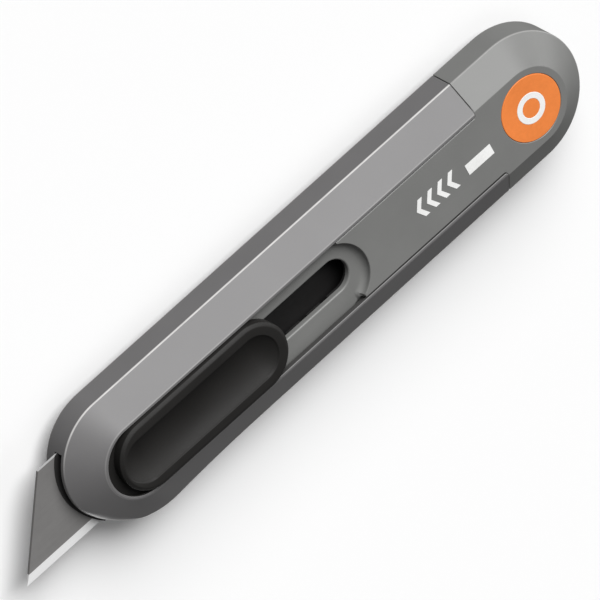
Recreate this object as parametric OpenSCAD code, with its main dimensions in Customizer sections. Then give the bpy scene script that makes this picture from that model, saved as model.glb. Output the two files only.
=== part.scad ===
// Retractable utility knife: a cast body wrapped by a U-shaped sleeve, with a trapezoid
// blade on a sliding carrier. It lies on its back face, blade towards +X, spine towards -Y
// and cutting edge towards +Y. The origin is on the back face, under the badge's centre.

/* [Body] */
// Half width of the body at its rim
half_w = 14.3; // [14:0.1:14.8]
// Half width of the edge side at the waist
waist_w = 14.85; // [14.6:0.05:15]
// Thickness of the body over the sleeve's lips
body_t = 14.3; // [14.2:0.1:15]
// Height of the straight wall between the two rims
rim_h = 5.76; // [5.2:0.1:6.4]
// Angle of the long chamfers from the side face
chamfer_angle = 34.5; // [34:0.5:36]
// Distance that the side face lies below the sleeve's lips
lip_proud = 0.25; // [0.1:0.05:0.4]

/* [Nose] */
// Distance from the badge's centre to the centre of the nose's spine corner
nose_x = 104.9; // [104:0.1:106]
// Radius of the nose on the spine side
nose_r_spine = 13.4; // [13:0.1:13.8]
// Radius of the nose on the edge side
nose_r_edge = 18.2; // [17.8:0.1:18.6]
// Angle at which the two nose arcs meet
nose_join = 19.5; // [18:0.5:22]
// Slope of the waist behind the nose
waist_slope = 4.5; // [4:0.5:6]

/* [Sleeve] */
// Place of the seam between the rear cap and the sleeve
seam_x = 10.5; // [10:0.5:14]
// Wall thickness of the sleeve
sleeve_t = 1.6; // [1.4:0.1:1.7]
// Half width of the window between the lips
window_w = 8.05; // [7.9:0.05:8.1]
// Centre of the window's round front
window_x = 103.6; // [103:0.1:104]

/* [Slider] */
// Length of the thumb pad
pad_len = 42.1; // [40:0.1:42.5]
// Half width of the thumb pad
pad_w = 7.45; // [7.2:0.05:7.5]
// Front end of the thumb pad
pad_front = 108.55; // [108:0.05:109]
// Height of the pad's wall above the body's mid plane
pad_wall = 7.9; // [7.2:0.1:8]
// Height of the pad's rim above the body's mid plane
pad_top = 8.8; // [8.3:0.05:8.9]
// Travel of the blade carrier
travel = 21.5; // [18:0.5:21.5]
// Travel of the thumb pad when it is pressed
press = 0.6; // [0.5:0.05:0.6]

/* [Blade] */
// Length of the blade along its edge
blade_len = 61; // [60:0.5:61]
// Width of the blade
blade_w = 19; // [18.7:0.1:19]
// Thickness of the blade
blade_t = 0.6; // [0.5:0.05:0.65]
// Setback of each slanted end
blade_slant = 13.4; // [12:0.1:14]
// Place of the blade's tip
blade_tip = 133.8; // [130:0.1:134]

/* [Badge] */
// Radius of the round badge
badge_r = 6.95; // [6:0.05:7.2]
// Thickness of the badge
badge_t = 0.8; // [0.6:0.1:1]

/* [Hidden] */
$fn = 64;
half_t = body_t / 2;            // lips and back face, from the mid plane
rim = rim_h / 2;                // rims, from the mid plane
flat = half_t - lip_proud;      // side face, from the mid plane
fit = 0.05;                     // gap between fixed pieces
lip_w = half_w - (half_t - rim) / tan(chamfer_angle);
badge_flat_w = half_w - (flat - rim) / tan(chamfer_angle);
nose_y = nose_r_spine - half_w;
edge_x = nose_x + (nose_r_spine - nose_r_edge) * cos(nose_join);
edge_y = nose_y + (nose_r_spine - nose_r_edge) * sin(nose_join);
waist_top = [edge_x - nose_r_edge * sin(waist_slope), edge_y + nose_r_edge * cos(waist_slope)];
waist_x = waist_top[0] - (waist_top[1] - waist_w) / tan(waist_slope);
far_x = 125;                    // ahead of the nose
side_y = 20;                    // outside the body
recess_x = 51.8;                // centre of the slider recess's round rear
recess_r = 7.8;                 // radius of that round rear
recess_step = 48;               // where the recess opens out to the lips
floor_z = 4.9;                  // recess floor
ceiling_z = 3.8;                // top of the inner cavity
cavity_w = 10.45;               // half width of the inner cavity
cavity_front = 108.6;
slot_w = 3.6;                   // half width of the stem's slot
slot_front = 98.2;              // centre of the slot's round front
blade_y = [-9, blade_w - 9];    // spine and cutting edge
mouth_z = [-0.55, 2];           // blade mouth in the nose
mouth_gap = 0.4;                // room beside the blade in the mouth
shell_screw_r = 1.2;            // threads of the body screws in the near half
boss_r = 2.3;                   // bosses of the body screws, and their heads' counterbores
far_boss_r = 2.6;               // the same bosses in the far half
pilot_l = 7;                    // depth of those threads
far_cavity_w = 9.9;             // half width of the far half's cavity
far_floor_z = 5.5;              // depth of that cavity
rib_x = [8, 36, 50];            // ribs that hold the spare blades
rib_t = 1.2;
rail_x = 58;                    // rails that hold up the blade bed
rail_y = 9.45;
rail_t = 1.3;
magnet_x = 22;
magnet_r = 4;
magnet_z = [-5.6, -2.6];
screw_places = [[-3.6, -3.2], [-3.6, 3.2]];
sleeve_screw_x = 16;
sleeve_screw_y = 10.2;
sleeve_screw_z = rim + (half_w - sleeve_screw_y) * tan(chamfer_angle);
bed_z = [-1.15, -0.35];         // blade bed
carrier_x = [68, 108];
carrier_z = [0.35, 1.05];
plate_z = [2.15, 2.85];         // lock plate
rack_z = [3.05, ceiling_z];
rack_pitch = 5.375;
rack_first = 54.6;
prongs = [5, 7];                // rack notches that hold the leaf's prongs at rest
prong_top = rack_z[0] + press - 0.25;
leaf_x = 86.85;
leaf_half = 12;
leaf_t = 0.2;
button_screw_x = [77, 96];
skirt_w = 7.85;                 // half width of the pad's skirt
skirt_t = 0.35;
skirt_rear = 84;                // centre of the skirt's round rear
pad_bottom = 5.7;
core_top = 6.3;                 // button core, under the pad's skin
stem_w = 3.2;
stem_x = [70, 99.4];
slot_rear = stem_x[0] - travel + slot_w - 0.9;  // leaves the stem room behind its travel
notch_x = [99.7, 106.9];        // studs of the carrier in the blade's spine
stud_r = 1.15;

function arc(cx, cy, r, a0, a1, n) =
    [for (i = [0 : n]) let (a = a0 + (a1 - a0) * i / n) [cx + r * cos(a), cy + r * sin(a)]];

module at_mid() { translate([0, 0, half_t]) children(); }

// Outline of the body at its rims
module outline() {
    polygon(concat(arc(0, 0, half_w, 90, 270, 40),
                   arc(nose_x, nose_y, nose_r_spine, 270, 360 + nose_join, 24),
                   arc(edge_x, edge_y, nose_r_edge, nose_join, 90 + waist_slope, 20),
                   [[waist_x, waist_w]]));
}

// Stadium with round ends of radius r, centred on x0 and x1
module stadium(x0, x1, r) {
    translate([x0, -r]) square([x1 - x0, 2 * r]);
    translate([x0, 0]) circle(r);
    translate([x1, 0]) circle(r);
}

// Part of the plan between two places along X
module strip(x) {
    translate([x[0], -side_y]) square([x[1] - x[0], 2 * side_y]);
}

// Body form with its chamfers, set in by k on every face; split at the waist, which is hollow
module form(k) {
    rim_k = rim - k * (1 - sin(chamfer_angle)) / cos(chamfer_angle);
    for (x = [[-side_y, waist_x], [waist_x - 0.01, far_x]]) hull() {
        translate([0, 0, -rim_k]) linear_extrude(2 * rim_k) intersection() {
            offset(delta = -k) outline();
            strip(x);
        }
        translate([0, 0, -half_t]) linear_extrude(2 * half_t) intersection() {
            stadium(0, window_x, lip_w - k / sin(chamfer_angle));
            strip(x);
        }
    }
}

// Block between two heights, over a range along X
module slab(x0, x1, z0, z1, w = side_y) {
    translate([x0, -w, z0]) cube([x1 - x0, 2 * w, z1 - z0]);
}

// Half section in Y and Z, run along X with a round rear end
module run(section, x1) {
    rotate([90, 0, 90]) linear_extrude(x1) {
        polygon(section);
        mirror([1, 0]) polygon(section);
    }
    rotate([0, 0, 90]) rotate_extrude(angle = 180) polygon(section);
}

module blade_mouth() {
    translate([cavity_front - 3, blade_y[0] - mouth_gap, mouth_z[0]])
        cube([far_x - cavity_front + 3, blade_w + 2 * mouth_gap, mouth_z[1] - mouth_z[0]]);
}

// A thing set on the far chamfer, one each side; +Z points out of the chamfer
module on_far_chamfer() {
    for (side = [-1, 1])
        translate([sleeve_screw_x, side * sleeve_screw_y, -sleeve_screw_z])
            rotate([side * (chamfer_angle - 180), 0, 0]) children();
}

module shell_blank(z0, z1) {
    intersection() {
        form(0);
        slab(-side_y, seam_x, z0, z1);
    }
    intersection() {
        form(sleeve_t + fit);
        slab(seam_x - 1, far_x, z0, z1);
    }
}

module body_shell() {
    color("dimgray") at_mid() difference() {
        union() {
            shell_blank(-rim, flat);
            translate([0, 0, ceiling_z]) linear_extrude(flat - ceiling_z)
                stadium(0, window_x, window_w - fit);
        }
        difference() {
            run([[0, -rim - 1], [cavity_w, -rim - 1], [cavity_w, 2.2], [8.4, ceiling_z],
                 [0, ceiling_z]], cavity_front);
            for (p = screw_places)
                translate([p[0], p[1], -rim]) cylinder(r = boss_r, h = 2 * rim + 2);
        }
        for (p = screw_places)
            translate([p[0], p[1], -rim - 1]) cylinder(r = shell_screw_r, h = pilot_l);
        translate([0, 0, floor_z]) linear_extrude(half_t) {
            translate([recess_x, 0]) circle(recess_r);
            translate([recess_step, -window_w]) square([window_x - recess_step, 2 * window_w]);
            translate([window_x, 0]) circle(window_w);
        }
        linear_extrude(half_t) stadium(slot_rear, slot_front, slot_w);
        translate([0, 0, flat - badge_t]) cylinder(r = badge_r + 0.05, h = badge_t + 1);
        blade_mouth();
    }
}

module back_shell() {
    color("dimgray") at_mid() difference() {
        union() {
            difference() {
                union() {
                    shell_blank(-half_t, -rim - fit);
                    translate([0, 0, -half_t]) linear_extrude(half_t - 5)
                        stadium(0, window_x, window_w - fit);
                }
                run([[0, -far_floor_z], [6.4, -far_floor_z], [far_cavity_w, -rim],
                     [far_cavity_w, -rim + 1], [0, -rim + 1]], cavity_front);
            }
            for (x = rib_x) slab(x, x + rib_t, -far_floor_z - 0.2, -2.6, 6.3);
            for (side = [-1, 1])
                translate([rail_x, side * rail_y - rail_t / 2, -rim - 0.5])
                    cube([cavity_front - rail_x - 0.6, rail_t, bed_z[0] + rim + 0.5]);
            for (p = screw_places)
                translate([p[0], p[1], -6]) cylinder(r = far_boss_r, h = 6 - rim - fit);
            intersection() {
                on_far_chamfer() translate([0, 0, -3.6]) cylinder(r = 2, h = 3.6 - sleeve_t - 0.1);
                slab(0, 40, -half_t, -rim);
            }
        }
        for (p = screw_places) {
            translate([p[0], p[1], -half_t - 1]) cylinder(r = 1.35, h = 8);
            translate([p[0], p[1], -half_t - 1]) cylinder(r = boss_r, h = 2.7);
        }
        on_far_chamfer() translate([0, 0, -3.4]) cylinder(r = 1, h = 3.4);
        translate([magnet_x, 0, magnet_z[0]])
            cylinder(r = magnet_r + fit, h = magnet_z[1] - magnet_z[0]);
    }
}

module nose_sleeve() {
    color("gray") at_mid() difference() {
        form(0);
        form(sleeve_t);
        slab(-side_y, seam_x + 0.1, -side_y, side_y);
        translate([0, 0, -side_y]) linear_extrude(2 * side_y) stadium(0, window_x, window_w);
        blade_mouth();
        on_far_chamfer() {
            translate([0, 0, -3]) cylinder(r = 1.15, h = 4);
            translate([0, 0, -1]) cylinder(r = 1.95, h = 3);
        }
    }
}

module badge_disc() {
    color("orange") at_mid() difference() {
        translate([0, 0, flat - badge_t]) cylinder(r = badge_r, h = badge_t);
        translate([0, 0, flat - 0.25]) difference() {
            cylinder(r = 3.3, h = 1);
            translate([0, 0, -1]) cylinder(r = 2, h = 3);
        }
    }
}

module badge_ring() {
    color("white") at_mid() translate([0, 0, flat - 0.25]) difference() {
        cylinder(r = 3.28, h = 0.29);
        translate([0, 0, -1]) cylinder(r = 2.02, h = 3);
    }
}

// Chevrons that point to the blade, and a plain rounded label
module side_marks() {
    color("white") at_mid() translate([0, 0, flat]) linear_extrude(0.05) {
        for (i = [0 : 3])
            translate([20.2 + 2.7 * i, 0.3])
                polygon([[0, -2.1], [1.1, -2.1], [2.4, 0], [1.1, 2.1], [0, 2.1], [1.3, 0]]);
        translate([11, -0.35]) square([6.6, 2.4]);
    }
}

// Two rows of teeth under the recess floor, joined at both ends
module lock_rack() {
    color("silver") at_mid() translate([0, 0, rack_z[0]])
        linear_extrude(rack_z[1] - rack_z[0]) difference() {
            translate([46.5, -7.3]) square([60.5, 14.6]);
            stadium(slot_rear, slot_front, slot_w + 0.1);
            for (i = [0 : 8], side = [-1, 1])
                translate([rack_first + rack_pitch * i - 0.9, side * 4.6 - 1.1])
                    square([1.8, 2.2]);
            for (x = [49, 105], side = [-1, 1])
                translate([x, side * 6]) circle(0.82, $fn = 24);
        }
}

module rack_rivets() {
    color("silver") at_mid() for (x = [49, 105], side = [-1, 1])
        translate([x, side * 6, rack_z[0] - 0.3]) {
            cylinder(r = 1.2, h = 0.3, $fn = 24);
            cylinder(r = 0.8, h = 0.3 + rack_z[1] - rack_z[0], $fn = 24);
        }
}

module blade_bed() {
    color("silver") at_mid() intersection() {
        translate([0, 0, bed_z[0]]) linear_extrude(bed_z[1] - bed_z[0]) difference() {
            stadium(0.5, 98, cavity_w - 0.15);
            for (p = screw_places) translate(p) circle(far_boss_r);
        }
        slab(-2, cavity_front, -half_t, half_t);
    }
}

// Trapezoid blade with its edge ground from both faces, its tip corner at x = 0
module blade_form() {
    difference() {
        intersection() {
            rotate([90, 0, -90]) linear_extrude(blade_len)
                polygon([[-blade_y[0], -blade_t / 2], [-blade_y[0], blade_t / 2],
                         [2 - blade_y[1], blade_t / 2], [-blade_y[1], 0.02],
                         [-blade_y[1], -0.02], [2 - blade_y[1], -blade_t / 2]]);
            translate([0, 0, -1]) linear_extrude(2)
                polygon([[0, blade_y[1]], [-blade_slant, blade_y[0]],
                         [blade_slant - blade_len, blade_y[0]], [-blade_len, blade_y[1]]]);
        }
        for (x = notch_x) translate([x - blade_tip, blade_y[0] - 1, -1]) {
            translate([-1.25, 0, 0]) cube([2.5, 2.8, 2]);
            translate([0, 2.8, 0]) cylinder(r = 1.25, h = 2);
        }
    }
}

module blade() {
    color("lightsteelblue") at_mid() translate([blade_tip, 0, 0]) blade_form();
}

module spare_blades() {
    color("lightsteelblue") at_mid() for (i = [0, 1])
        translate([blade_len - 3.9, -0.5, bed_z[0] - 0.36 - (blade_t + 0.02) * i]) blade_form();
}

module spare_magnet() {
    color("darkgray") at_mid() translate([magnet_x, 0, magnet_z[0]])
        cylinder(r = magnet_r, h = magnet_z[1] - magnet_z[0]);
}

// Screw with a hexagon socket; its head lies at z = 0 and its shank points along -Z
module screw(head_r, head_h, shank_r, shank_l) {
    difference() {
        union() {
            translate([0, 0, -head_h]) cylinder(r = head_r, h = head_h, $fn = 32);
            translate([0, 0, -head_h - shank_l]) cylinder(r = shank_r, h = shank_l + 0.1, $fn = 32);
        }
        translate([0, 0, -0.7 * head_h]) cylinder(r = 0.55 * head_r, h = head_h, $fn = 6);
    }
}

module body_screws() {
    color("silver") at_mid() for (p = screw_places)
        translate([p[0], p[1], -half_t + 0.25]) rotate([180, 0, 0]) screw(2.2, 1.45, 1.18, 7);
}

module sleeve_screws() {
    color("silver") at_mid() on_far_chamfer() translate([0, 0, -0.1]) screw(1.85, 0.85, 0.98, 2);
}

module blade_carrier() {
    color("darkslategray") at_mid() {
        difference() {
            union() {
                slab(carrier_x[0], carrier_x[1], carrier_z[0], carrier_z[1], 9.1);
                for (side = [-1, 1])
                    translate([carrier_x[0] + 2, side * 8.4 - 0.5, carrier_z[0]])
                        cube([36, 1, 2.2]);
            }
            for (x = button_screw_x) translate([x, 0, 0]) cylinder(r = 1.6, h = 3);
        }
        for (x = notch_x)
            translate([x, blade_y[0] + 1.8, -0.25]) cylinder(r = stud_r, h = 0.7);
    }
}

module carrier_shoes() {
    color("ivory") at_mid() for (side = [-1, 1])
        translate([carrier_x[0] + 1, side * 9.65 - 0.5, carrier_z[0]]) cube([38, 1, 1.5]);
}

// Two bowed leaves under the lock plate; their prongs stand in the rack's notches
module leaf_spring() {
    rise = plate_z[0] - carrier_z[1] - leaf_t - 0.02;
    r = (leaf_half * leaf_half + rise * rise) / (2 * rise);
    a = asin(leaf_half / r);
    color("silver") at_mid() for (side = [-1, 1]) {
        translate([leaf_x, side * 5 + 1.5, plate_z[0] - 0.02 - r])
            rotate([90, 0, 0]) linear_extrude(3)
                polygon(concat(arc(0, 0, r, 90 - a, 90 + a, 12),
                               arc(0, 0, r - leaf_t, 90 + a, 90 - a, 12)));
        for (i = prongs)
            translate([rack_first + rack_pitch * i - 0.6, side * 4.7 - 0.6, plate_z[0] - 0.35])
                cube([1.2, 1.2, prong_top - plate_z[0] + 0.35]);
    }
}

module pad_plan(inset) {
    stadium(pad_front - pad_len + pad_w, pad_front - pad_w, pad_w - inset);
}

module thumb_pad() {
    dish_w = 5.6;
    dish_depth = 1.6;
    dish_r = (dish_w * dish_w + dish_depth * dish_depth) / (2 * dish_depth);
    color("black") at_mid() difference() {
        union() {
            hull() {
                translate([0, 0, pad_bottom]) linear_extrude(pad_wall - pad_bottom) pad_plan(0);
                translate([0, 0, pad_bottom]) linear_extrude(pad_top - pad_bottom) pad_plan(1.4);
            }
            translate([0, 0, pad_bottom]) linear_extrude(skirt_t)
                stadium(skirt_rear, window_x, skirt_w);
        }
        translate([0, 0, pad_bottom - 1]) linear_extrude(core_top - pad_bottom + 1) pad_plan(1);
        hull() for (x = [pad_front - pad_len + pad_w, pad_front - pad_w])
            translate([x, 0, pad_top + dish_r - dish_depth]) sphere(dish_r, $fn = 72);
    }
}

module button_core() {
    color("black") at_mid() difference() {
        union() {
            translate([0, 0, pad_bottom]) linear_extrude(core_top - pad_bottom) pad_plan(1.05);
            translate([0, 0, plate_z[1]]) linear_extrude(pad_bottom - plate_z[1] + 0.1)
                stadium(stem_x[0] + stem_w, stem_x[1] - stem_w, stem_w);
        }
        for (x = button_screw_x)
            translate([x, 0, plate_z[1] - 1]) cylinder(r = 0.8, h = 3.6);
    }
}

module lock_plate() {
    color("silver") at_mid() {
        difference() {
            slab(72, 102, plate_z[0], plate_z[1], 6.8);
            for (x = button_screw_x)
                translate([x, 0, plate_z[0] - 1]) cylinder(r = 0.95, h = 3);
            for (i = prongs, side = [-1, 1])
                translate([rack_first + rack_pitch * i - 1, side * 4.7 - 1, plate_z[0] - 1])
                    cube([2, 2, 3]);
        }
    }
}

module button_screws() {
    color("silver") at_mid() for (x = button_screw_x)
        translate([x, 0, plate_z[0] - 0.45]) rotate([180, 0, 0]) screw(1.3, 0.45, 0.78, 3);
}

body_shell();
back_shell();
nose_sleeve();
badge_disc();
badge_ring();
side_marks();
lock_rack();
rack_rivets();
blade_bed();
spare_blades();
spare_magnet();
body_screws();
sleeve_screws();
blade_carrier();
carrier_shoes();
blade();
leaf_spring();
thumb_pad();
button_core();
lock_plate();
button_screws();
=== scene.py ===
from math import atan2, cos, pi, radians, sin, sqrt, tan

import bmesh
import bpy
from bpy.props import FloatProperty, FloatVectorProperty, PointerProperty
from mathutils import Matrix, Vector


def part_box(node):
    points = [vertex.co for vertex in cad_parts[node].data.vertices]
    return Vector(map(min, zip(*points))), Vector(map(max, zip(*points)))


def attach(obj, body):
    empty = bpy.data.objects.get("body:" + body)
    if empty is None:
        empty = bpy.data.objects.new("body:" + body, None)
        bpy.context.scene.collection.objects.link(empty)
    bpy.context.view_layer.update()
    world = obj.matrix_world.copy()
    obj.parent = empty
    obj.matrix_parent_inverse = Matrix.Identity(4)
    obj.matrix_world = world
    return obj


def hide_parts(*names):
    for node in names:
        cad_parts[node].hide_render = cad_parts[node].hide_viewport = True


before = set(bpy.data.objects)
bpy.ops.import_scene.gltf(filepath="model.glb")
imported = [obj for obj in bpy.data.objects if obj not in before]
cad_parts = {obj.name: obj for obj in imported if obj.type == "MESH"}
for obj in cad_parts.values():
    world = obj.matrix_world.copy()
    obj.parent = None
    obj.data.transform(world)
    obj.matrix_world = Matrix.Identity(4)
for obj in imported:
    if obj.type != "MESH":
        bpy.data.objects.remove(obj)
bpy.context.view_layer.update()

bl_info = {
    "name": "Retractable Utility Knife",
    "version": (1, 0, 0),
    "blender": (4, 5, 0),
    "location": "View3D > Sidebar > Knife",
    "description": "Builds the looks of a retractable utility knife around its frame",
    "category": "Add Mesh",
}

MM = 0.001
SLEEVE_LO, SLEEVE_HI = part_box("nose_sleeve")
BODY_LO, BODY_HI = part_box("body_shell")
PAD_LO, PAD_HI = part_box("thumb_pad")
CORE_LO, CORE_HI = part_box("button_core")
BLADE_LO, BLADE_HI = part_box("blade")
BADGE_LO, BADGE_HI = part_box("badge_disc")
RING_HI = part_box("badge_ring")[1]
RACK_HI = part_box("lock_rack")[1]
HALF_T = SLEEVE_HI.z / 2          # the sleeve's lips, from the mid plane
MID_Z = HALF_T
HALF_W = -SLEEVE_LO.y
REAR_X = BODY_LO.x + HALF_W       # centre of the rounded rear
SEAM_X = SLEEVE_LO.x
RIM = MID_Z - BODY_LO.z           # the rims, from the mid plane
FLAT = BODY_HI.z - MID_Z
CEILING = RACK_HI.z - MID_Z
NOSE_FOOT = radians(44)           # heading of the nose's lowest corner
NOSE_FOOT_SPREAD = 0.72           # cosine at which the rounding there begins
WAIST_SETTLE = 0.11               # share of the waist's bulge lost behind its widest place

# small sizes inside the sections
ANCHOR = -1.5 * MM                # where a section's side face and ceiling end
FILLET = 0.1 * MM                 # smallest fillet
LAND_FILLET = 0.12 * MM           # edge of a lip's land
LIP_KNEE = 0.3 * MM               # from a land's edge to the chamfer
INNER_FILLET = 0.3 * MM           # inside the sleeve's corner, and at the cap's side face
CEILING_EDGE = 0.35 * MM          # edge of the cavity's ceiling, from the lip
CAVITY_KNEE = 2.2 * MM            # where the near cavity's wall turns in
FAR_KNEE = 0.2 * MM               # the same in the far half, above its foot
SEAM_FADE = 1.2 * MM              # length over which the seam's broken edge fades in
UNDER_SLEEVE = 0.05 * MM          # gap between the body and the sleeve
SIDE_DROP = 0.12 * MM             # drop of the side face's edge beside a lip
SIDE_FILLET = 0.15 * MM           # width of that drop
HAIR = 0.02 * MM                  # smallest gap between two pieces

STAND_OUT = 1 * MM                # how far a cutter stands out of the piece it cuts

# places of the body's screws, and the width of the blade's ground strip
SLEEVE_SCREW_X, SLEEVE_SCREW_Y = 16 * MM, 10.2 * MM
SHELL_SCREW_X, SHELL_SCREW_Y = -3.6 * MM, 3.2 * MM
GROUND_W = 2 * MM


# ---------------------------------------------------------------- sizes and colours

def length(name, description, default):
    """A length in millimetres, kept in metres."""
    return FloatProperty(name=name, description=description, default=default * MM,
                         subtype="DISTANCE", unit="LENGTH", precision=5)


def colour(name, description, default):
    """A colour in linear light."""
    return FloatVectorProperty(name=name, description=description, default=default, size=3,
                               min=0, max=1, subtype="COLOR")


def factor(name, description, default):
    """A share from 0 to 1."""
    return FloatProperty(name=name, description=description, default=default, min=0, max=1,
                         subtype="FACTOR")


class KnifeBodySizes(bpy.types.PropertyGroup):
    """Sizes of the knife's body and sleeve"""
    nose_x: length("Nose centre", "Centre of the nose's spine corner along X", 104.9)
    nose_r_spine: length("Nose radius, spine", "Radius of the nose on the spine side", 13.4)
    nose_r_edge: length("Nose radius, edge", "Radius of the nose on the edge side", 18.2)
    nose_join: FloatProperty(name="Nose join", description="Angle at which the nose arcs meet",
                             default=radians(19.5), subtype="ANGLE", unit="ROTATION")
    waist_slope: FloatProperty(name="Waist slope", description="Slope of the waist's front",
                               default=radians(4.5), subtype="ANGLE", unit="ROTATION")
    waist_x: length("Waist", "Place of the waist along X", 88.7)
    waist_w: length("Waist width", "Half width of the edge side at the waist", 14.85)
    window_x: length("Window front", "Centre of the window's round front", 103.6)
    window_w: length("Window width", "Half width of the window between the lips", 8.05)
    sleeve_t: length("Sleeve thickness", "Wall thickness of the sleeve", 1.6)
    corner_r: length("Lip corner", "Radius of the sleeve's corners at the seam", 0.7)
    land_w: length("Lip land", "Width of the flat land along the sleeve's lips", 0.5)
    land_t: length("Land thickness", "Thickness of that land", 0.7)
    rim_round: length("Rim rounding", "Radius along the rims", 0.42)
    foot_round: length("Nose foot rounding", "Radius of the rim where the nose is lowest", 3.8)
    lip_round: length("Lip rounding", "Radius along the lips", 0.3)
    lip_gap: length("Lip gap", "Gap between the spine lip and the side face", 0.3)
    edge_gap: length("Edge gap", "Gap between the edge side's lip and the side face", 0.14)
    seam_gap: length("Seam gap", "Gap between the rear cap and the sleeve", 0.16)
    seam_break: length("Seam break", "Broken edge along each side of the seam", 0.1)
    cavity_w: length("Cavity width", "Half width of the inner cavity", 10.45)
    recess_x: length("Recess rear", "Centre of the recess's round rear", 51.8)
    recess_r: length("Recess radius", "Radius of the recess's round rear", 7.8)
    recess_step: length("Recess step", "Where the recess opens out to the lips", 48)
    recess_side: length("Recess side", "How far the recess reaches under the lips", 0.3)
    floor_z: length("Recess floor", "Recess floor above the mid plane", 5.05)
    foot_r: length("Recess foot", "Fillet at the foot of the recess wall", 1.3)
    slot_rear: length("Slot rear", "Centre of the slot's round rear", 51.2)
    slot_front: length("Slot front", "Centre of the slot's round front", 98.2)
    slot_w: length("Slot width", "Half width of the slot", 3.6)
    mouth_far: length("Mouth, far", "Far side of the blade's mouth below the mid plane", 0.55)
    mouth_near: length("Mouth, near", "Near side of the blade's mouth above the mid plane", 2.0)
    # the mouth plate is painted shade: a black sheet over the blade where the mouth's shade falls
    plate_reach: length("Plate reach", "How far the mouth plate reaches out of the nose", 0.4)
    plate_rear: length("Plate rear", "Rear end of the mouth plate along X", 108.2)
    plate_low: length("Plate underside", "Underside of the mouth plate", 0.36)
    plate_high: length("Plate top", "Top of the mouth plate", 0.7)


class KnifePadSizes(bpy.types.PropertyGroup):
    """Sizes of the thumb pad"""
    core_in: length("Core inset", "Thickness of the skin beside the core", 1.05)
    wall_z: length("Wall height", "Top of the pad's wall above the mid plane", 8.0)
    rim_z: length("Rim height", "Flat rim above the mid plane", 8.4)
    rim_slope: length("Rim slope", "Width of the slope between the wall and the flat rim", 0.7)
    front: length("Front reach", "How far the pad reaches in front of its core's skin", 0.45)
    front_rise: length("Front rise", "Rise of the rim at the front, as a thumb stop", 0.35)
    dish_in: length("Dish edge", "Distance from the wall to the dish's edge", 2.45)
    dish_step: length("Dish step", "Steep step inside the dish's edge", 0.4)
    dish_depth: length("Dish depth", "Depth of the thumb dish", 2.0)
    skirt_t: length("Skirt thickness", "Thickness of the skirt", 0.35)
    skirt_rear: length("Skirt rear", "Centre of the skirt's round rear", 84)
    dish_front: length("Dish front", "How much narrower the rim is in front of the dish", 1.4)


class KnifeColours(bpy.types.PropertyGroup):
    """Colours of the knife's finishes"""
    sleeve: colour("Sleeve paint", "Satin paint on the sleeve", (0.150, 0.147, 0.148))
    body: colour("Body paint", "Satin paint on the body", (0.182, 0.183, 0.178))
    badge: colour("Badge", "Moulded badge", (0.83, 0.235, 0.055))
    white: colour("Print", "Printed marks", (0.86, 0.86, 0.85))
    pad: colour("Pad", "Soft skin of the thumb pad", (0.0118, 0.0111, 0.0104))
    black: colour("Black parts", "Moulded black parts", (0.018, 0.017, 0.017))
    steel: colour("Blade", "Ground blade steel", (0.36, 0.352, 0.347))
    # near black, partly the plates' blackened finish and partly painted shade for the depth seen
    # through the slot
    dark_steel_and_slot_shade: colour("Blackened steel", "Blackened inner plates", (0.035, 0.034, 0.034))
    spring: colour("Spring steel", "Bright inner steel", (0.42, 0.41, 0.40))
    nylon: colour("Nylon", "Carrier's guide shoes", (0.62, 0.60, 0.54))
    floor: colour("Floor", "Studio floor", (0.95, 0.95, 0.95))


class KnifeStageSettings(bpy.types.PropertyGroup):
    """Light and camera"""
    key: FloatProperty(name="Key light", description="Strength of the main light", default=4.05)
    key_angle: FloatProperty(name="Key softness", description="Spread of the main light",
                             default=radians(46), subtype="ANGLE", unit="ROTATION")
    rear: FloatProperty(name="Rear light", description="Strength of the low rear light",
                        default=1.0)
    rear_angle: FloatProperty(name="Rear softness", description="Spread of the rear light",
                              default=radians(30), subtype="ANGLE", unit="ROTATION")
    under: FloatProperty(name="Under light", description="Strength of the light from below",
                         default=2.0)
    ambient: factor("Ambient", "Even light from all round", 0.14)
    distance: FloatProperty(name="Camera distance", description="Camera's distance",
                            default=3.8, subtype="DISTANCE", unit="LENGTH")
    frame_w: FloatProperty(name="Frame width", description="Width of view at the knife",
                           default=0.11407, subtype="DISTANCE", unit="LENGTH", precision=5)


# ---------------------------------------------------------------- mesh helpers

def spread(start, stop, steps):
    """Even values from start to stop, both included."""
    return [start + (stop - start) * i / steps for i in range(steps + 1)]


def arc(x, y, radius, start, stop, steps):
    """Points on a flat arc, both ends included."""
    return [Vector((x + radius * cos(a), y + radius * sin(a)))
            for a in spread(start, stop, steps)]


def rounded(corners, steps=5):
    """Closed outline of corners (x, y, radius), each rounded to its radius."""
    points = []
    for i, (x, y, radius) in enumerate(corners):
        here = Vector((x, y))
        if radius <= 0:
            points.append(here)
            continue
        before = (Vector(corners[i - 1][:2]) - here).normalized()
        after = (Vector(corners[(i + 1) % len(corners)][:2]) - here).normalized()
        half = before.angle(after) / 2
        centre = here + (before + after).normalized() * radius / sin(half)
        reach = radius / tan(half)
        first, last = here + before * reach - centre, here + after * reach - centre
        start = atan2(first.y, first.x)
        turn = (atan2(last.y, last.x) - start + pi) % (2 * pi) - pi
        points += arc(centre.x, centre.y, radius, start, start + turn, steps)
    return points


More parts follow.
